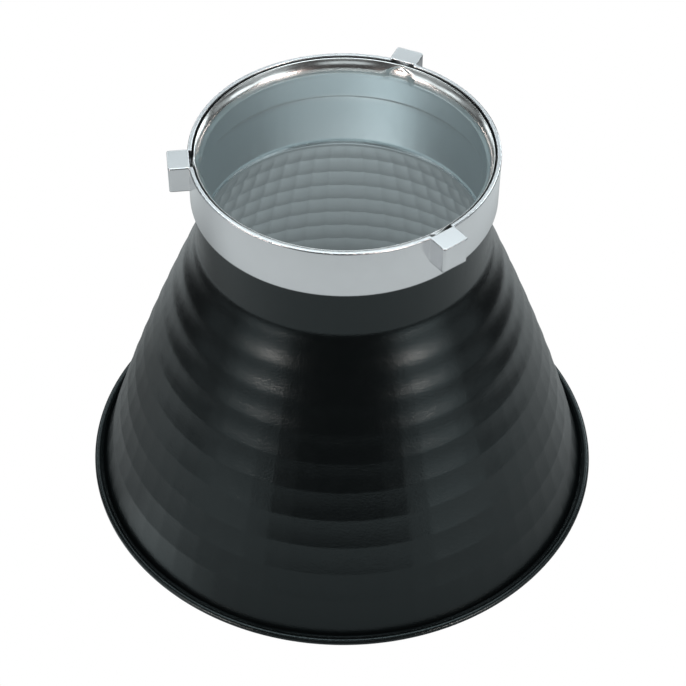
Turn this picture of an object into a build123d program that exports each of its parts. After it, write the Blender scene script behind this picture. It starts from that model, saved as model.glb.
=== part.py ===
from build123d import *
import math
import os

# Seven-inch bayonet reflector: a spun sheet shell clinched into a ring with three bayonet lugs.
# Millimetres. The origin is on the axis, in the plane that the rim rests on. +Z points to the mount.

# Overall sizes
overall_height = 139.8
rim_diameter = 180.0
sheet = 0.8

# Mount ring
ring_diameter = 98.5
ring_height = 17.3
ring_edge = 0.3
bore_radius = 47.55
relief_radius = 47.95
relief_depth = 4.6
relief_slope = 0.8
seat_radius = 48.15

# Bayonet lugs, and the pocket in the bore behind each one
lug_angles = (60, 180, 300)
lug_tip_radius = 55.6
lug_width = 9.25
lug_height = 9.2
lug_corner = 0.8
pocket_width = 8.0
pocket_radius = 48.75
pocket_depth = 8.3

# Neck of the shell. The upper part sits in the ring, and its edge is rolled inwards into a lip; the lower
# part is wider.
upper_neck_radius = 46.7
lower_neck_radius = 47.25
lip_recess = 0.45
lip_depth = 5.2
lip_crest_radius = 46.95
lip_edge_radius = 47.2
lip_rounding = 0.5
lip_nose_radius = 44.8
lip_nose_depth = 5.1
lip_nose_land = 0.6
lip_nose_rounding = 0.4
lip_root_depth = 6.8
lip_bulge = 0.45
edge_rounding = 0.1
joggle_depth = 15.9
joggle_height = 0.6
sheet_step = 0.2

# Stakes: round dents that push the neck outwards into the ring's pockets
stake_reach = 48.55
stake_radius = 6.0
stake_depth = 4.0

# Cone of the shell, on its outer face: shallow dished rows with ridges between them, on a bulged line
flare_depth = 35.2
cone_depth = 37.8
cone_top_radius = 49.0
cone_base_radius = 86.3
cone_base_height = 1.9
cone_bulge = 1.65
row_count = 10
row_length = 10.42
row_dish = 0.3

# Rim: the sheet turns outwards and curls back up into a bead
bead_radius = 1.2
bead_end_angle = 170
bead_side_angle = 40
rim_fillet = 1.5

ring_radius = ring_diameter / 2
bead_centre = rim_diameter / 2 - bead_radius
down = (0, -1)


def below_top(depth):
    """Height of a point that lies depth below the top of the ring."""
    return overall_height - depth


def cone_point(distance, offset):
    """Point on the cone's bulged line, a distance down its chord and moved outwards by offset."""
    start = Vector(cone_top_radius, below_top(cone_depth))
    chord = Vector(cone_base_radius, cone_base_height) - start
    along = chord.normalized()
    outward = Vector(-along.Y, along.X)
    share = distance / chord.length
    rise = 4 * cone_bulge * share * (1 - share)
    point = start + along * distance + outward * (rise + offset)
    return (point.X, point.Y)


def cone_rows(offset):
    """One arc for each row of the cone, dished towards the axis, from its first ridge to its last."""
    for row in range(row_count):
        top = row * row_length
        ridge = cone_point(top, offset)
        middle = cone_point(top + row_length / 2, offset - row_dish)
        next_ridge = cone_point(top + row_length, offset)
        ThreePointArc(ridge, middle, next_ridge)


def rim_corner(offset, height):
    """Where the plain run below the last row, carried on, meets the level of the rim."""
    ridge = cone_point(row_count * row_length, offset)
    outer_ridge = cone_point(row_count * row_length, 0)
    slope = (cone_base_radius - outer_ridge[0]) / (cone_base_height - outer_ridge[1])
    return (ridge[0] + slope * (height - ridge[1]), height)


def bead_point(radius, angle):
    """Point of the bead's section, by angle around the bead's centre."""
    turn = math.radians(angle)
    return (bead_centre + radius * math.cos(turn), bead_radius + radius * math.sin(turn))


def bead_face(radius):
    """One face of the curled bead: an arc from the rim's flat to the free edge."""
    ThreePointArc(
        (bead_centre, bead_radius - radius),
        bead_point(radius, bead_side_angle),
        bead_point(radius, bead_end_angle),
    )


def lip_roll():
    """Inner face of the rolled lip: a gently bulged slope from its nose up to its crest."""
    nose = Vector(lip_nose_radius, below_top(lip_nose_depth))
    crest = Vector(lip_crest_radius, below_top(lip_recess + lip_rounding))
    slope = crest - nose
    inwards = Vector(-slope.Y, slope.X).normalized()
    ThreePointArc(nose, nose + slope / 2 + inwards * lip_bulge, crest)


def neck_faces():
    """Both faces of the neck, joined over the lip, down to where the neck flares into the cone."""
    outside = upper_neck_radius + sheet
    lower_outside = lower_neck_radius + sheet
    land_depth = lip_nose_depth + lip_nose_land
    Polyline(
        (lower_neck_radius, below_top(flare_depth)),
        (lower_neck_radius, below_top(joggle_depth + joggle_height + sheet_step)),
        (upper_neck_radius, below_top(joggle_depth + sheet_step)),
        (upper_neck_radius, below_top(lip_root_depth)),
        (lip_nose_radius + lip_nose_rounding, below_top(land_depth + lip_nose_rounding)),
        (lip_nose_radius, below_top(land_depth)),
        (lip_nose_radius, below_top(lip_nose_depth)),
    )
    lip_roll()
    Polyline(
        (lip_crest_radius, below_top(lip_recess + lip_rounding)),
        (lip_edge_radius - edge_rounding, below_top(lip_recess)),
        (lip_edge_radius, below_top(lip_recess + edge_rounding)),
        (outside, below_top(lip_depth)),
        (outside, below_top(joggle_depth)),
        (lower_outside, below_top(joggle_depth + joggle_height)),
        (lower_outside, below_top(flare_depth)),
    )
    TangentArc((lower_neck_radius, below_top(flare_depth)), cone_point(0, -sheet), tangent=down)
    TangentArc((lower_outside, below_top(flare_depth)), cone_point(0, 0), tangent=down)


def gap_to(vertex, corner):
    """Distance in the section from a vertex to a corner."""
    return round(math.hypot(vertex.X - corner[0], vertex.Z - corner[1]), 3)


def shell_section():
    """Half section of the sheet in the XZ plane, from the lip to the curled bead."""
    outer_corner = rim_corner(0, sheet)
    inner_corner = rim_corner(-sheet, 0)
    with BuildSketch(Plane.XZ) as section:
        with BuildLine():
            neck_faces()
            cone_rows(0)
            cone_rows(-sheet)
            Polyline(cone_point(row_count * row_length, 0), outer_corner, (bead_centre, sheet))
            Polyline(cone_point(row_count * row_length, -sheet), inner_corner, (bead_centre, 0))
            bead_face(bead_radius - sheet)
            bead_face(bead_radius)
            Line(bead_point(bead_radius - sheet, bead_end_angle), bead_point(bead_radius, bead_end_angle))
        make_face()
        fillet(section.vertices().group_by(lambda v: gap_to(v, outer_corner))[0], rim_fillet)
        fillet(section.vertices().group_by(lambda v: gap_to(v, inner_corner))[0], rim_fillet + sheet)
    return section.sketch


def stake(angle, radius):
    """Ball whose outer side is the face of one stake."""
    centre = Vector(stake_reach - stake_radius, 0, below_top(stake_depth)).rotate(Axis.Z, angle)
    return Pos(*centre) * Sphere(radius)


def stake_room():
    """Ring-shaped space that keeps each stake's ball to the side away from the axis."""
    inside = upper_neck_radius + sheet / 2
    height = 2 * stake_radius
    tube = Cylinder(ring_radius, height) - Cylinder(inside, height)
    return Pos(0, 0, below_top(stake_depth)) * tube


def reflector_shell():
    """The spun shell: its half section turned once around the axis, then staked three times."""
    shell = revolve(shell_section(), Axis.Z)
    room = stake_room()
    for angle in lug_angles:
        shell += stake(angle, stake_radius) & room
        shell -= stake(angle, stake_radius - sheet)
    return shell


def ring_band():
    """The plain band of the mount ring, with the relief around the lip and the seat for the joggle."""
    with BuildSketch(Plane.XZ) as section:
        with BuildLine():
            Polyline(
                (ring_radius, overall_height),
                (relief_radius, overall_height),
                (relief_radius, below_top(relief_depth)),
                (bore_radius, below_top(relief_depth + relief_slope)),
                (bore_radius, below_top(joggle_depth)),
                (seat_radius, below_top(joggle_depth + joggle_height)),
                (seat_radius, below_top(ring_height)),
                (ring_radius, below_top(ring_height)),
                close=True,
            )
        make_face()
    return revolve(section.sketch, Axis.Z)


def block(inner, outer, width, height):
    """Block that runs outwards along +X from inner to outer and hangs down from the ring's top."""
    middle = Pos((inner + outer) / 2, 0, below_top(height / 2))
    return middle * Box(outer - inner, width, height)


def lug():
    """One bayonet lug, rooted in the band, with its two tip corners rounded."""
    root = (ring_radius + pocket_radius) / 2
    body = block(root, lug_tip_radius, lug_width, lug_height)
    tip_corners = body.edges().filter_by(Axis.Z).group_by(Axis.X)[-1]
    return fillet(tip_corners, lug_corner)


def pocket():
    """The space cut in the bore behind one lug."""
    return block(bore_radius - 2, pocket_radius, pocket_width, pocket_depth)


def reach(edge):
    """Distance from the axis to the nearest end of an edge."""
    return min(math.hypot(v.X, v.Y) for v in edge.vertices())


def outer_top_edges(ring):
    """The edges around the outside of the ring's top face, lugs included."""
    top = ring.faces().sort_by(Axis.Z)[-1]
    return [edge for edge in top.edges() if reach(edge) > ring_radius - 0.01]


def mount_ring():
    """The mount ring: band, lugs and pockets in one piece, with its outer edges eased."""
    ring = ring_band()
    for angle in lug_angles:
        ring += lug().rotate(Axis.Z, angle)
    for angle in lug_angles:
        ring -= pocket().rotate(Axis.Z, angle)
    return fillet(outer_top_edges(ring), ring_edge)


def write(node, solid):
    """Writes one node's STEP file."""
    export_step(solid, os.path.join("parts", node + ".step"))


os.makedirs("parts", exist_ok=True)
write("reflector_shell", reflector_shell())
write("mount_ring", mount_ring())
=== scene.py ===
import bpy
import math
import numpy as np
from mathutils import Matrix, Vector


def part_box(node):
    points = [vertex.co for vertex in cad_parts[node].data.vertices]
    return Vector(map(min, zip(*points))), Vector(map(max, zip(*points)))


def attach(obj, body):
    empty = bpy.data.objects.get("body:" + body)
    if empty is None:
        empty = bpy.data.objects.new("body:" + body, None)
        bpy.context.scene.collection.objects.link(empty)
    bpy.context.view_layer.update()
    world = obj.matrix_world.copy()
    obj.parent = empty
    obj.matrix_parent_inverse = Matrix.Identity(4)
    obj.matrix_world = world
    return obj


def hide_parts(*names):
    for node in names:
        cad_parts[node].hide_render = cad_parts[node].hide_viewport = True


# Looks of a seven-inch bayonet reflector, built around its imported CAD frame.
# The shell's sizes are in millimetres, and MM turns them into Blender's metres. The widths of its neck,
# cone and rim are radii from the axis, and every depth but a dish's is below the top of the ring.
# Everything else is in metres. Angles are in degrees.

MM = 0.001

# Neck: its wall, the lip that its edge is rolled into, and the joggle between its two widths
SHEET = 0.8
UPPER_NECK = 46.7
LOWER_NECK = 47.25
LIP_RECESS = 0.45
LIP_DEPTH = 5.2
LIP_CREST = 46.95
LIP_EDGE = 47.2
LIP_EDGE_ROUNDING = 0.1
LIP_NOSE = 44.8
LIP_NOSE_DEPTH = 5.1
LIP_NOSE_LAND = 0.6
LIP_NOSE_ROUNDING = 0.4
LIP_UNDERSIDE = (0.8, 0.48)
LIP_ROOT_DEPTH = 6.8
LIP_ROOT_ROUNDING = 0.5
LIP_ROOT_MARGIN = 0.6
LIP_CREST_ROUNDING = 0.5
LIP_BULGE = 0.45
LIP_CREASE_DEPTH = 3.6
LIP_CREASE = 0.04
LIP_CREASE_WIDTH = 0.15
JOGGLE_DEPTH = 15.9
JOGGLE_HEIGHT = 0.6
INNER_JOGGLE_EASE = 0.4

# Cone: a bulged line through its ridges, and between the ridges ten rows of sixty dished facets. A row's
# rounding runs from sharp ridges at 0 to a smooth wave at 1. The rows begin at a share of the first one,
# and inside, the columns ease in from there. The columns' dish is a share of the radius.
FLARE_DEPTH = 34.0
INNER_FLARE_DEPTH = 36.8
FIRST_SHARE = 0.12
FIRST_SHARE_EASE = 0.3
CONE_DEPTH = 37.8
CONE_TOP = 49.0
CONE_BASE = 86.3
CONE_BASE_HEIGHT = 1.9
CONE_BULGE = 1.65
ROWS = 10
ROW_LENGTH = 10.42
OUTSIDE_ROW_DISH = (0.24, 0.24, 0.24, 0.22, 0.19, 0.17, 0.17, 0.17, 0.17, 0.17)
OUTSIDE_ROUNDING = (1.0, 1.0, 0.9, 0.7, 0.4, 0.2, 0.1, 0.0, 0.0, 0.0)
INSIDE_ROW_DISH = (0.5,) * ROWS
INSIDE_ROUNDING = (0.4,) + (0.0,) * (ROWS - 1)
COLUMNS = 60
COLUMN_DISH = 0.005
FIRST_COLUMN_EDGE = 4.33
OUTSIDE_COLUMN_SHARE = (0.0, 0.0, 0.04, 0.08, 0.11, 0.14, 0.17, 0.19, 0.2, 0.2)

# Stakes: the neck is dented outwards by a ball behind each lug, and each face only so far
LUG_ANGLES = (60, 180, 300)
STAKE_REACH = 48.55
STAKE_RADIUS = 6.0
STAKE_DEPTH = 4.0
OUTER_DENT = 3.0
INNER_DENT = 0.7

# Rim: the sheet turns outwards and curls into a bead
RIM_RADIUS = 90.0
BEAD = 1.2
BEAD_END = 170
RIM_FILLET = 1.5

# Mesh fineness
STEPS_PER_FACET = 5
STEPS_PER_ROW = 8
FLARE_STEPS = 12
WALL_STEPS = 8

# Radius of the ring's worn edges, in metres
RING_WEAR = 0.0005

# Camera
CAMERA_AZIMUTH = -7.0
CAMERA_ELEVATION = 45.42
CAMERA_DISTANCE = 0.6474
CAMERA_TARGET_HEIGHT = 0.0526
CAMERA_ROLL = 0.47
CAMERA_LENS = 98.05

# Light: softboxes on a wide dome, by azimuth from the camera's side, elevation, size in metres, and the
# brightness of the one on the camera's right and of its mirror image on the left
LIGHT_DISTANCE = 1.6
LIGHT_TARGET = (0, 0, 0.06)
SOFTBOXES = (
    ("low_strip", 52, -7, (0.95, 0.4), 0.85, 0.6),
    ("strip", 52, 4.5, (0.9, 0.22), 1.4, 1.05),
    ("key", 52, 12.5, (0.7, 0.22), 3.4, 3.0),
    ("key_core", 45, 12.5, (0.3, 0.2), 16.0, 15.0),
    ("front_low", 28, 0, (0.25, 0.5), 0.08, 0.06),
    ("low_side", 84, -5, (0.6, 0.4), 0.37, 0.28),
    ("side", 95, 22, (0.9, 0.5), 0.27, 0.2),
    ("back_side", 140, 25, (0.9, 0.6), 3.0, 1.7),
    ("back", 180, 27, (0.9, 0.5), 1.45, 0),
    ("high_back", 180, 52, (0.9, 0.5), 1.2, 0),
    ("overhead", 180, 78, (1.2, 0.9), 2.7, 0),
    ("high_front", 0, 46, (0.8, 0.4), 0.7, 0),
    ("front_side", 58, 27, (0.6, 0.4), 1.5, 1.2),
    ("open_side", 82, 20, (0.6, 0.35), 1.4, 1.1),
    ("high_side", 70, 45, (0.9, 0.5), 0.37, 0.28),
)
WORLD_FILL = 0.045
WARM = (1.2, 1.0, 0.93)
COOL = (0.9, 1.0, 1.03)

# The lit table top, a glowing disc of painted light and shade: its brightness by distance from the axis,
# darker inside and just outside the rim as painted shade of the reflector. Its patches are given by centre,
# narrowing along X, reach and
# extra glow: a painted pool of the light through the neck, inside the reflector, and painted shade that
# dims the left side.
TABLE = 0.25
TABLE_GLOW_AND_PAINTED_SHADE = (
    # painted shade of the reflector: dimmer towards the rim inside it and just outside it
    (0.0, 0.37), (0.055, 0.3), (0.08, 0.16), (0.09, 0.37), (0.16, 0.45), (0.175, 0.67),
    (0.215, 0.67), (0.235, 0.25), (TABLE, 0.25),
)
TABLE_PAINTED_LIGHT_AND_SHADE_PATCHES = (
    # painted pool of the light through the neck, on the table inside the reflector
    ((-0.028, -0.042, 0), 0.38, 0.038, 1.3),
    # painted shade that dims the table's left side
    ((-0.14, 0.065, 0), 1.0, 0.08, -0.25),
)
TABLE_TINT = (0.93, 1.0, 1.015)
FLOOR_HALF = 1.5


# ---------------------------------------------------------------- node helpers

def new_material(name):
    """A new node material: returns it with its node tree and its Principled shader."""
    material = bpy.data.materials.new(name)
    material.use_nodes = True
    tree = material.node_tree
    shader = tree.nodes["Principled BSDF"]
    return material, tree, shader


def node(tree, kind, **inputs):
    """Adds a node; keyword names with underscores are its input sockets."""
    made = tree.nodes.new(kind)
    for name, value in inputs.items():
        made.inputs[name.replace("_", " ")].default_value = value
    return made


def object_coordinates(tree):
    """The object's own coordinates, in metres."""
    return tree.nodes.new("ShaderNodeTexCoord").outputs["Object"]


def noise(tree, vector, scale, detail=2.0, roughness=0.5):
    """Noise with features of about 1/scale metres."""
    made = node(tree, "ShaderNodeTexNoise", Scale=scale, Detail=detail, Roughness=roughness)
    tree.links.new(vector, made.inputs["Vector"])
    return made.outputs["Fac"]


def remap(tree, value, low, high, to_low, to_high):
    """Maps value from low..high to to_low..to_high."""
    made = tree.nodes.new("ShaderNodeMapRange")
    for name, number in (("From Min", low), ("From Max", high), ("To Min", to_low), ("To Max", to_high)):
        made.inputs[name].default_value = number
    tree.links.new(value, made.inputs["Value"])
    return made.outputs["Result"]


def mottled(tree, vector, scale, low, high):
    """A value that drifts between low and high from place to place."""
    return remap(tree, noise(tree, vector, scale, 3.0), 0.3, 0.7, low, high)


def bump(tree, height, strength, distance, under=None):
    """Bump from a height value; distance in metres."""
    made = node(tree, "ShaderNodeBump", Strength=strength, Distance=distance)
    tree.links.new(height, made.inputs["Height"])
    if under is not None:
        tree.links.new(under, made.inputs["Normal"])
    return made.outputs["Normal"]


# ---------------------------------------------------------------- materials

def black_coat():
    """Satin black powder coat with a fine grain."""
    material, tree, shader = new_material("black_powder_coat")
    where = object_coordinates(tree)
    shader.inputs["Base Color"].default_value = (0.0032, 0.0044, 0.0048, 1)
    shader.inputs["Specular IOR Level"].default_value = 0.5
    shader.inputs["Specular Tint"].default_value = (0.84, 0.98, 1.0, 1)
    tree.links.new(mottled(tree, where, 260, 0.2, 0.24), shader.inputs["Roughness"])
    tree.links.new(bump(tree, noise(tree, where, 1700, 2.0, 0.6), 0.5, 0.00014), shader.inputs["Normal"])
    return material


def streaks(tree, vector, around, across):
    """Noise drawn out around the axis, as a spinning tool leaves it."""
    scaled = tree.nodes.new("ShaderNodeMapping")
    scaled.inputs["Scale"].default_value = (around, around, across)
    tree.links.new(vector, scaled.inputs["Vector"])
    return noise(tree, scaled.outputs["Vector"], 1.0, 2.0)


def matt_silver():
    """Matt silver finish on the inside of the shell, with faint spinning marks."""
    material, tree, shader = new_material("matt_silver")
    where = object_coordinates(tree)
    shader.inputs["Base Color"].default_value = (0.69, 0.76, 0.78, 1)
    shader.inputs["Metallic"].default_value = 1.0
    tree.links.new(mottled(tree, where, 300, 0.31, 0.36), shader.inputs["Roughness"])
    marks = bump(tree, streaks(tree, where, 30, 2500), 0.25, 0.00003)
    grain = bump(tree, noise(tree, where, 1800, 2.0, 0.6), 0.15, 0.00003, marks)
    tree.links.new(grain, shader.inputs["Normal"])
    return material


def burnished_lip():
    """The lip's bright burnished band."""
    material, tree, shader = new_material("burnished_lip")
    where = object_coordinates(tree)
    shader.inputs["Base Color"].default_value = (0.88, 0.875, 0.86, 1)
    shader.inputs["Metallic"].default_value = 1.0
    tree.links.new(mottled(tree, where, 400, 0.18, 0.24), shader.inputs["Roughness"])
    marks = bump(tree, streaks(tree, where, 60, 1800), 0.2, 0.00003)
    tree.links.new(bump(tree, noise(tree, where, 500, 2.0), 0.08, 0.0001, marks), shader.inputs["Normal"])
    return material


def satin_ring():
    """Satin turned metal of the mount ring, with its edges worn round."""
    material, tree, shader = new_material("satin_metal")
    where = object_coordinates(tree)
    shader.inputs["Base Color"].default_value = (0.83, 0.835, 0.85, 1)
    shader.inputs["Metallic"].default_value = 1.0
    tree.links.new(mottled(tree, where, 300, 0.235, 0.25), shader.inputs["Roughness"])
    worn = node(tree, "ShaderNodeBevel", Radius=RING_WEAR)
    worn.samples = 8
    tree.links.new(worn.outputs["Normal"], shader.inputs["Normal"])
    return material


# ---------------------------------------------------------------- shell

def below_top(depth):
    """Height of a point that lies depth below the top of the ring, in mm."""
    return TOP - depth


def cone_point(distance, offset):
    """Point (radius, height) on the cone's bulged line, moved outwards by offset, in mm."""
    start = Vector((CONE_TOP, below_top(CONE_DEPTH)))
    chord = Vector((CONE_BASE, CONE_BASE_HEIGHT)) - start
    along = chord.normalized()
    outward = Vector((-along.y, along.x))
    share = distance / chord.length
    rise = 4 * CONE_BULGE * share * (1 - share)
    return start + along * distance + outward * (rise + offset)


def spaced(count):
    """Shares from 0 up to 1, closer together near both ends."""
    return [(1 - math.cos(math.pi * i / count)) / 2 for i in range(count)]


def hermite(start, start_pull, end, end_pull, count):
    """Points on a smooth curve between two points, with the given pulls at its ends."""
    points = []
    for i in range(count):
        t = i / count
        a = 2 * t ** 3 - 3 * t ** 2 + 1
        b = t ** 3 - 2 * t ** 2 + t
        c = -2 * t ** 3 + 3 * t ** 2
        d = t ** 3 - t ** 2
        points.append(start * a + start_pull * b + end * c + end_pull * d)
    return points


class Profile:
    """The shell's section: points, each with its finish and its share of the columns' dish."""

    def __init__(self):
        self.points = []
        self.column_share = []
        self.finish = []

    def add(self, point, finish, column_share=0.0):
        self.points.append((point[0], point[1]))
        self.finish.append(finish)
        self.column_share.append(column_share)


# Finishes, by their place in the shell's list of materials
COAT, SILVER, LIP = 0, 1, 2


def line(start, end, count):
    """Points from start up to, but not at, end."""
    return [Vector(start).lerp(Vector(end), i / count) for i in range(count)]


def dish_shape(t, rounding):
    """Depth of a row's dish at a place in the row: sharp ridges at rounding 0, a smooth wave at 1."""
    sharp = 4 * t * (1 - t)
    wave = (1 - math.cos(2 * math.pi * t)) / 2
    return sharp + (wave - sharp) * rounding


def facet_rows(offset):
    """Points of all rows on one face of the sheet, each with its row and its place in the row."""
    depths = INSIDE_ROW_DISH if offset < 0 else OUTSIDE_ROW_DISH
    rounding = INSIDE_ROUNDING if offset < 0 else OUTSIDE_ROUNDING
    found = []
    for row in range(ROWS):
        for t in spaced(STEPS_PER_ROW):
            if row == 0 and t < FIRST_SHARE:
                continue
            dish = depths[row] * dish_shape(t, rounding[row])
            found.append((cone_point((row + t) * ROW_LENGTH, offset - dish), row, t))
    found.append((cone_point(ROWS * ROW_LENGTH, offset), ROWS - 1, 1.0))
    return found


def column_share(row, t, shares):
    """How strongly the columns show at a place in a row, easing from row to row."""
    here = shares[row]
    after = shares[min(row + 1, ROWS - 1)]
    return here + (after - here) * t


def neck_to_cone(radius, depth, offset):
    """Smooth curve from a depth on the neck's wall into the first row."""
    start = Vector((radius, below_top(depth)))
    rows = facet_rows(offset)
    end = rows[0][0]
    slope = (rows[1][0] - rows[0][0]).normalized()
    reach = (end - start).length
    return hermite(start, Vector((0, -1)) * reach, end, slope * reach, FLARE_STEPS)


def arc(centre, radius, start, end, count):
    """Points on an arc, by angle in degrees, without its last point."""
    points = []
    for i in range(count):
        turn = math.radians(start + (end - start) * i / count)
        points.append(Vector((centre[0] + radius * math.cos(turn), centre[1] + radius * math.sin(turn))))
    return points


def rounded(before, corner, after, radius, count):
    """Arc-like points that round one corner between two runs."""
    back = (before - corner).normalized()
    on = (after - corner).normalized()
    half = back.angle(on) / 2
    reach = radius / math.tan(half)
    start = corner + back * reach
    end = corner + on * reach
    points = []
    for i in range(count + 1):
        t = i / count
        points.append(start * (1 - t) ** 2 + corner * 2 * t * (1 - t) + end * t ** 2)
    return points


def lip_root():
    """Points of the hollow under the lip, from the neck's wall up and in to the lip's nose."""
    wall = Vector((UPPER_NECK, below_top(LIP_ROOT_DEPTH + LIP_ROOT_MARGIN)))
    corner = Vector((UPPER_NECK, below_top(LIP_ROOT_DEPTH)))
    nose = Vector((LIP_NOSE, below_top(LIP_NOSE_DEPTH)))
    land_end = Vector((LIP_NOSE, below_top(LIP_NOSE_DEPTH + LIP_NOSE_LAND + LIP_NOSE_ROUNDING)))
    under = land_end + Vector((LIP_UNDERSIDE[0], -LIP_UNDERSIDE[1]))
    hollow = rounded(wall, corner, under, LIP_ROOT_ROUNDING, 6)
    return hollow + rounded(under, land_end, nose, LIP_NOSE_ROUNDING, 5)


def lip_roll():
    """Points up the lip's bulged slope, with its faint crease, and over its crest."""
    nose = Vector((LIP_NOSE, below_top(LIP_NOSE_DEPTH)))
    crest = Vector((LIP_CREST, below_top(LIP_RECESS + LIP_CREST_ROUNDING)))
    slope = crest - nose
    inwards = Vector((-slope.y, slope.x)).normalized()
    points = []
    for t in spaced(16) + [1.0]:
        rise = 4 * LIP_BULGE * t * (1 - t)
        point = nose + slope * t + inwards * rise
        from_crease = TOP - point.y - LIP_CREASE_DEPTH
        crease = LIP_CREASE * math.exp(-(from_crease / LIP_CREASE_WIDTH) ** 2)
        points.append(point - inwards * crease)
    points.append(Vector(((LIP_CREST + LIP_EDGE) / 2, below_top(LIP_RECESS))))
    return points


def add_run(profile, points, finish):
    """Adds points that share a finish and take no part in the columns."""
    for point in points:
        profile.add(point, finish)


def add_outside(profile):
    """The outer face: behind the ring, down the neck, through the flare and down the cone."""
    outer_upper = UPPER_NECK + SHEET
    outer_lower = LOWER_NECK + SHEET
    edge = (LIP_EDGE, below_top(LIP_RECESS + LIP_EDGE_ROUNDING))
    shoulder = (outer_upper, below_top(LIP_DEPTH))
    joggle_head = (outer_upper, below_top(JOGGLE_DEPTH))
    joggle_foot = (outer_lower, below_top(JOGGLE_DEPTH + JOGGLE_HEIGHT))
    neck_foot = (outer_lower, below_top(FLARE_DEPTH))
    add_run(profile, line(edge, shoulder, WALL_STEPS), LIP)
    add_run(profile, line(shoulder, joggle_head, WALL_STEPS), COAT)
    add_run(profile, line(joggle_foot, neck_foot, WALL_STEPS), COAT)
    add_run(profile, neck_to_cone(outer_lower, FLARE_DEPTH, 0), COAT)
    for point, row, t in facet_rows(0):
        profile.add(point, COAT, column_share(row, t, OUTSIDE_COLUMN_SHARE))


def add_rim(profile):
    """The rim: out to the bead, round its inner and outer face, and back under to the cone."""
    slope = (Vector((CONE_BASE, CONE_BASE_HEIGHT)) - cone_point(ROWS * ROW_LENGTH, 0)).normalized()
    outer_last = cone_point(ROWS * ROW_LENGTH, 0)
    outer_corner = outer_last + slope * ((SHEET - outer_last.y) / slope.y)
    inner_last = cone_point(ROWS * ROW_LENGTH, -SHEET)
    inner_corner = inner_last - slope * (inner_last.y / slope.y)
    bead = RIM_RADIUS - BEAD
    add_run(profile, rounded(outer_last, outer_corner, Vector((bead, SHEET)), RIM_FILLET, 8), COAT)
    add_run(profile, arc((bead, BEAD), BEAD - SHEET, -90, BEAD_END, 10), COAT)
    add_run(profile, arc((bead, BEAD), BEAD, BEAD_END, -90, 24), COAT)
    add_run(profile, rounded(Vector((bead, 0)), inner_corner, inner_last, RIM_FILLET + SHEET, 8), SILVER)


def add_inside(profile):
    """The inner face, from the rim up the cone and the neck, over the joggle and under the lip."""
    for point, row, t in reversed(facet_rows(-SHEET)):
        share = min((t - FIRST_SHARE) / FIRST_SHARE_EASE, 1.0) if row == 0 else 1.0
        profile.add(point, SILVER, share)
    neck_foot = (LOWER_NECK, below_top(INNER_FLARE_DEPTH))
    joggle_foot = Vector((LOWER_NECK, below_top(JOGGLE_DEPTH + JOGGLE_HEIGHT + INNER_JOGGLE_EASE)))
    joggle_head = Vector((UPPER_NECK, below_top(JOGGLE_DEPTH - INNER_JOGGLE_EASE)))
    neck_head = (UPPER_NECK, below_top(LIP_ROOT_DEPTH + LIP_ROOT_MARGIN))
    pull = Vector((0, joggle_head.y - joggle_foot.y))
    add_run(profile, reversed(neck_to_cone(LOWER_NECK, INNER_FLARE_DEPTH, -SHEET)), SILVER)
    add_run(profile, line(neck_foot, joggle_foot, WALL_STEPS), SILVER)
    add_run(profile, hermite(joggle_foot, pull, joggle_head, pull, 10), SILVER)
    add_run(profile, line(joggle_head, neck_head, 2 * WALL_STEPS), SILVER)
    add_run(profile, lip_root(), SILVER)


def shell_profile():
    """The sheet's closed section: down the outside, round the bead, up the inside and over the lip."""
    profile = Profile()
    add_outside(profile)
    add_rim(profile)
    add_inside(profile)
    add_run(profile, lip_roll(), LIP)
    return profile


def staked(ring, ball_radius, limit):
    """Pushes one ring of points out to the stakes' balls, and softly no further than the limit."""
    outward = ring * (1, 1, 0)
    outward /= np.linalg.norm(outward, axis=1)[:, None]
    for lug in LUG_ANGLES:
        turn = math.radians(lug)
        ball = STAKE_REACH - STAKE_RADIUS
        centre = np.array([ball * math.cos(turn), ball * math.sin(turn), below_top(STAKE_DEPTH)])
        gap = ring - centre
        along = (gap * outward).sum(1)
        inside = ball_radius ** 2 - (gap ** 2).sum(1) + along ** 2
        reach = np.sqrt(np.maximum(inside, 0)) - along
        push = np.where((inside > 0) & (along > 0), np.maximum(reach, 0), 0)
        ring = ring + outward * (limit * np.tanh(push / limit))[:, None]
    return ring


def column_dish(radius, angles):
    """How far a facet's surface lies inside the circle at each angle, in mm."""
    share = ((angles - math.radians(FIRST_COLUMN_EDGE)) / (2 * math.pi / COLUMNS)) % 1.0
    return COLUMN_DISH * radius * 4 * share * (1 - share)


def shell_ring(radius, height, share, angles):
    """One ring of the shell's points, with its share of the columns' dish and the stakes' dents."""
    dished = radius - column_dish(radius, angles) * share
    ring = np.stack([dished * np.cos(angles), dished * np.sin(angles), np.full(len(angles), height)], 1)
    if height <= below_top(JOGGLE_DEPTH):
        return ring
    if radius > UPPER_NECK + SHEET / 2:
        return staked(ring, STAKE_RADIUS, OUTER_DENT)
    return staked(ring, STAKE_RADIUS - SHEET, INNER_DENT)


def shell_mesh():
    """The shell's mesh: the section repeated around the axis, dished inwards in each facet."""
    profile = shell_profile()
    columns = np.arange(COLUMNS)[:, None] + np.array(spaced(STEPS_PER_FACET))[None, :]
    angles = math.radians(FIRST_COLUMN_EDGE) + columns.reshape(-1) * 2 * math.pi / COLUMNS
    around = len(angles)
    count = len(profile.points)
    rings = []
    for (radius, height), share in zip(profile.points, profile.column_share):
        rings.append(shell_ring(radius, height, share, angles) * MM)
    faces = []
    finishes = []
    for i in range(count):
        below = (i + 1) % count
        for j in range(around):
            beside = (j + 1) % around
            faces.append((i * around + j, below * around + j, below * around + beside, i * around + beside))
            finishes.append(profile.finish[i])
    mesh = bpy.data.meshes.new("reflector_shell_visual")
    mesh.from_pydata(np.concatenate(rings).tolist(), [], faces)
    mesh.polygons.foreach_set("material_index", finishes)
    mesh.polygons.foreach_set("use_smooth", [True] * len(faces))
    mesh.update()
    return mesh


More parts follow.
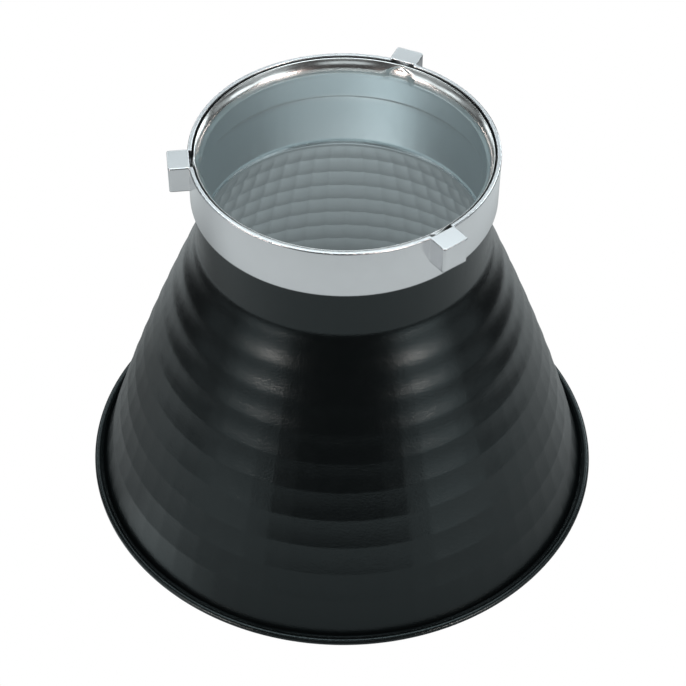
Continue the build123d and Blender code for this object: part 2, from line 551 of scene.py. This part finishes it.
def build_shell():
    """The detailed shell, standing for its CAD node."""
    mesh = shell_mesh()
    for material in (black_coat(), matt_silver(), burnished_lip()):
        mesh.materials.append(material)
    shell = bpy.data.objects.new("shell_detail", mesh)
    bpy.context.scene.collection.objects.link(shell)
    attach(shell, "root")
    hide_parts("reflector_shell")


# ---------------------------------------------------------------- ring

def dress_ring():
    """Gives the CAD ring its finish."""
    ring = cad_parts["mount_ring"]
    ring.data.materials.clear()
    ring.data.materials.append(satin_ring())


# ---------------------------------------------------------------- stage

def view_axes(azimuth, elevation):
    """Unit vectors away from the target towards a viewpoint, and to that viewpoint's right."""
    a, e = math.radians(azimuth), math.radians(elevation)
    away = Vector((math.sin(a) * math.cos(e), -math.cos(a) * math.cos(e), math.sin(e)))
    right = Vector((math.cos(a), math.sin(a), 0))
    return away, right


def facing(away, right, target, distance):
    """Matrix of something that looks at the target from a distance."""
    place = Matrix((right, away.cross(right), away)).transposed().to_4x4()
    place.translation = Vector(target) + away * distance
    return place


def card(name, corners, material):
    """A flat piece of the stage in the plane that the rim rests on."""
    mesh = bpy.data.meshes.new(name)
    mesh.from_pydata(corners, [], [tuple(range(len(corners)))])
    mesh.materials.append(material)
    made = bpy.data.objects.new(name, mesh)
    bpy.context.scene.collection.objects.link(made)
    return made


def emitter(name):
    """A material that only glows: returns it with its tree and emission node."""
    material = bpy.data.materials.new(name)
    material.use_nodes = True
    tree = material.node_tree
    tree.nodes.remove(tree.nodes["Principled BSDF"])
    glow = tree.nodes.new("ShaderNodeEmission")
    tree.links.new(glow.outputs["Emission"], tree.nodes["Material Output"].inputs["Surface"])
    return material, tree, glow


def painted_light_and_shade_patch(tree, where, centre, narrowing, reach, extra):
    """Painted light where extra is above 0 and painted shade where it is below, fading out from a centre
    over its reach; narrowing below 1 draws it out along X.
    """
    gap = tree.nodes.new("ShaderNodeVectorMath")
    gap.operation = "SUBTRACT"
    gap.inputs[1].default_value = centre
    tree.links.new(where, gap.inputs[0])
    squeezed = tree.nodes.new("ShaderNodeMapping")
    squeezed.inputs["Scale"].default_value = (narrowing, 1, 1)
    tree.links.new(gap.outputs["Vector"], squeezed.inputs["Vector"])
    distance = tree.nodes.new("ShaderNodeVectorMath")
    distance.operation = "LENGTH"
    tree.links.new(squeezed.outputs["Vector"], distance.inputs[0])
    return remap(tree, distance.outputs["Value"], 0, reach, extra, 0)


def table_painted_light():
    """Glow of the table top, painted light and shade: by its distance from the axis, with painted shade of
    the reflector about its rim, and its patches of painted light and shade.
    """
    material, tree, glow = emitter("table_painted_light")
    where = object_coordinates(tree)
    radius = tree.nodes.new("ShaderNodeVectorMath")
    radius.operation = "LENGTH"
    tree.links.new(where, radius.inputs[0])
    ramp = tree.nodes.new("ShaderNodeValToRGB")
    stops = ramp.color_ramp.elements
    for distance, _ in TABLE_GLOW_AND_PAINTED_SHADE[1:-1]:
        stops.new(distance / TABLE)
    for stop, (distance, brightness) in zip(stops, TABLE_GLOW_AND_PAINTED_SHADE):
        stop.color = (brightness, brightness, brightness, 1)
    tree.links.new(remap(tree, radius.outputs["Value"], 0, TABLE, 0, 1), ramp.inputs["Fac"])
    total = ramp.outputs["Color"]
    for centre, narrowing, reach, extra in TABLE_PAINTED_LIGHT_AND_SHADE_PATCHES:
        patch = painted_light_and_shade_patch(tree, where, centre, narrowing, reach, extra)
        sum_up = tree.nodes.new("ShaderNodeMath")
        sum_up.operation = "ADD"
        tree.links.new(total, sum_up.inputs[0])
        tree.links.new(patch, sum_up.inputs[1])
        total = sum_up.outputs["Value"]
    tree.links.new(total, glow.inputs["Strength"])
    glow.inputs["Color"].default_value = (*TABLE_TINT, 1)
    return material


def build_floor():
    """A plain white floor that only the camera sees, and the table top, a glowing disc of painted light and
    shade that the object reflects.
    """
    white, _, glow = emitter("white_floor")
    glow.inputs["Strength"].default_value = 1.0
    half = FLOOR_HALF
    floor = card("floor", [(-half, -half, 0), (half, -half, 0), (half, half, 0), (-half, half, 0)], white)
    floor.visible_diffuse = False
    floor.visible_glossy = False
    floor.visible_shadow = False
    lit = table_painted_light()
    around = [math.radians(angle) for angle in range(0, 360, 5)]
    table = card("table_top", [(TABLE * math.cos(a), TABLE * math.sin(a), 0.0) for a in around], lit)
    table.visible_camera = False


def build_world():
    """White behind the object, and a dim even fill for everything that light bounces off."""
    world = bpy.data.worlds.new("studio")
    bpy.context.scene.world = world
    world.use_nodes = True
    tree = world.node_tree
    fill = tree.nodes["Background"]
    fill.inputs["Color"].default_value = (WORLD_FILL, WORLD_FILL, WORLD_FILL, 1)
    white = tree.nodes.new("ShaderNodeBackground")
    white.inputs["Color"].default_value = (1, 1, 1, 1)
    path = tree.nodes.new("ShaderNodeLightPath")
    mix = tree.nodes.new("ShaderNodeMixShader")
    tree.links.new(path.outputs["Is Camera Ray"], mix.inputs["Fac"])
    tree.links.new(fill.outputs["Background"], mix.inputs[1])
    tree.links.new(white.outputs["Background"], mix.inputs[2])
    tree.links.new(mix.outputs["Shader"], tree.nodes["World Output"].inputs["Surface"])


def softbox(name, azimuth, elevation, size, brightness):
    """A rectangular light that faces the object, hidden from the camera."""
    light = bpy.data.lights.new(name, "AREA")
    light.shape = "RECTANGLE"
    light.size, light.size_y = size
    light.energy = brightness * math.pi * size[0] * size[1]
    light.color = WARM if name.startswith("key") else COOL
    away, right = view_axes(CAMERA_AZIMUTH + azimuth, elevation)
    lamp = bpy.data.objects.new(name, light)
    lamp.matrix_world = facing(away, right, LIGHT_TARGET, LIGHT_DISTANCE)
    lamp.visible_camera = False
    bpy.context.scene.collection.objects.link(lamp)


def build_lights():
    """The studio's softboxes; those off the middle stand in pairs."""
    for name, azimuth, elevation, size, right, left in SOFTBOXES:
        softbox(name, azimuth, elevation, size, right)
        if left > 0:
            softbox(name + "_left", -azimuth, elevation, size, left)


def build_camera():
    """The camera, aimed at a point on the axis, with a small roll."""
    data = bpy.data.cameras.new("camera")
    data.lens = CAMERA_LENS
    data.sensor_width = 36
    data.clip_start = 0.01
    camera = bpy.data.objects.new("camera", data)
    away, right = view_axes(CAMERA_AZIMUTH, CAMERA_ELEVATION)
    roll = math.radians(CAMERA_ROLL)
    tilted = right * math.cos(roll) + away.cross(right) * math.sin(roll)
    camera.matrix_world = facing(away, tilted, (0, 0, CAMERA_TARGET_HEIGHT), CAMERA_DISTANCE)
    bpy.context.scene.collection.objects.link(camera)
    bpy.context.scene.camera = camera


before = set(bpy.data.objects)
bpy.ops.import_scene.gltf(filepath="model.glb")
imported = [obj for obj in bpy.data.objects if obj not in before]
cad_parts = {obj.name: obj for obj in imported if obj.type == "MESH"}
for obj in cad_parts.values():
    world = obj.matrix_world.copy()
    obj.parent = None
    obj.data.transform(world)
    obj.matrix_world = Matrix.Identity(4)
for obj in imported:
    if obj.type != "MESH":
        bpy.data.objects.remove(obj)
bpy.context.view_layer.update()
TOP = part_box("mount_ring")[1].z / MM

build_camera()
build_world()
build_lights()
build_floor()
build_shell()
dress_ring()
bpy.context.scene.view_settings.view_transform = "Standard"
